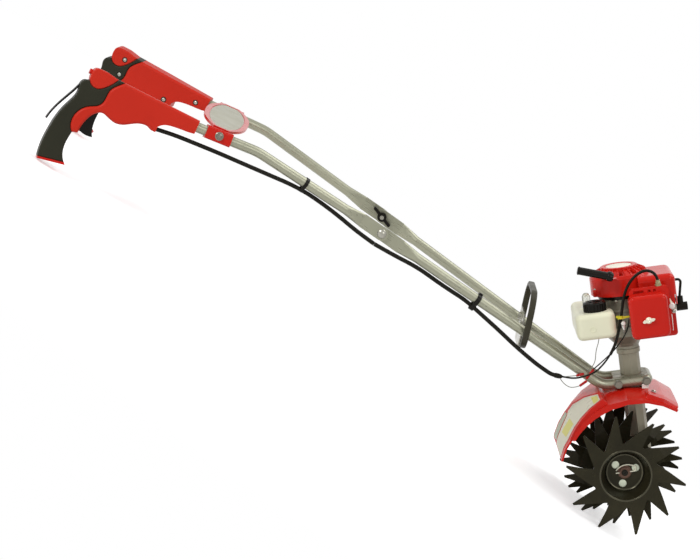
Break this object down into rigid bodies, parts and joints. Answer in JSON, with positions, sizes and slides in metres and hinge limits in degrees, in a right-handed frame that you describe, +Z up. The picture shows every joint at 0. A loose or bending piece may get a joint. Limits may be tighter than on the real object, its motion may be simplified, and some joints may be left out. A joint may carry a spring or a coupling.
{
  "type": "garden tiller",
  "caption": "Small hand-held petrol garden tiller with four star tines, a fender, an engine on an upright column and a fold-down twin handle, laid back on tines and grips.",
  "frame": {"origin": "middle of the footprint on the floor, under the centre of the bounding box, as parked", "axes": "+X forward, the way the machine works, from the grips to the tines; +Y to the operator's left; +Z up"},
  "size_m": [1.3962, 0.5392, 0.4735],
  "materials": {
    "tine_steel": "satin olive-grey coating",
    "bright_steel": "zinc plated",
    "casting": "cast, satin",
    "clutch_alloy": "cast, satin",
    "tube_alloy": "silver-grey coating",
    "red_plastic": "moulded, glossy",
    "black_plastic": "moulded, matt",
    "black_rubber": "matt",
    "muffler_steel": "heat-stained sheet",
    "tank_plastic": "translucent cream"
  },
  "bodies": {
    "machine": {"air_filter_base": "red_plastic", "air_filter_cover": "red_plastic", "cable_lower": "black_rubber", "carburettor": "casting", "carry_hoop": "black_plastic", "clamp_bolt_front": "bright_steel", "clamp_bolt_rear": "bright_steel", "clutch_housing": "clutch_alloy", "engine_block": "casting", "engine_cover": "red_plastic", "fender": "red_plastic", "fold_bolt_left": "bright_steel", "fold_bolt_right": "bright_steel", "fold_knob_left": "black_plastic", "fold_knob_right": "black_plastic", "fuel_cap": "black_plastic", "fuel_tank": "tank_plastic", "gearcase": "casting", "handle_bow": "tube_alloy", "handle_clamp_left": "casting", "handle_clamp_right": "casting", "hoop_bracket": "bright_steel", "ignition_lead": "black_rubber", "lower_cover": "red_plastic", "lower_handle_left": "tube_alloy", "lower_handle_right": "tube_alloy", "muffler": "muffler_steel", "plug_boot": "black_rubber", "priming_bulb": "tank_plastic", "spark_plug": "bright_steel", "starter_grip": "black_plastic", "starter_housing": "red_plastic", "throttle_cable": "black_rubber"},
    "tines": {"axle": "bright_steel", "tine_outer_right": "tine_steel", "tine_inner_right": "tine_steel", "tine_outer_left": "tine_steel", "tine_inner_left": "tine_steel", "tine_hub_right": "tine_steel", "tine_hub_left": "tine_steel", "hairpin_right": "bright_steel", "hairpin_left": "bright_steel"},
    "handle": {"cable_upper": "black_rubber", "crossbar": "red_plastic", "crossbar_clamp_left": "red_plastic", "crossbar_clamp_right": "red_plastic", "grip_foot_left": "red_plastic", "grip_foot_right": "red_plastic", "grip_handle_left": "black_rubber", "grip_handle_right": "black_rubber", "grip_shell_left": "red_plastic", "grip_shell_right": "red_plastic", "grip_thumb_left": "red_plastic", "grip_thumb_right": "red_plastic", "lockout_lever": "black_plastic", "stop_button": "red_plastic", "throttle_trigger": "black_plastic", "upper_handle_left": "tube_alloy", "upper_handle_right": "tube_alloy"}
  },
  "joints": [
    {"name": "tine_spin", "type": "hinge", "parent": "machine", "child": "tines", "pos_m": [0.58519, 0, 0.11291], "axis": [0, 1, 0], "continuous": true},
    {"name": "handle_fold", "type": "hinge", "parent": "machine", "child": "handle", "pos_m": [-0.06281, 0, 0.22962], "axis": [0, 1, 0], "range_deg": [0, 154]}
  ]
}
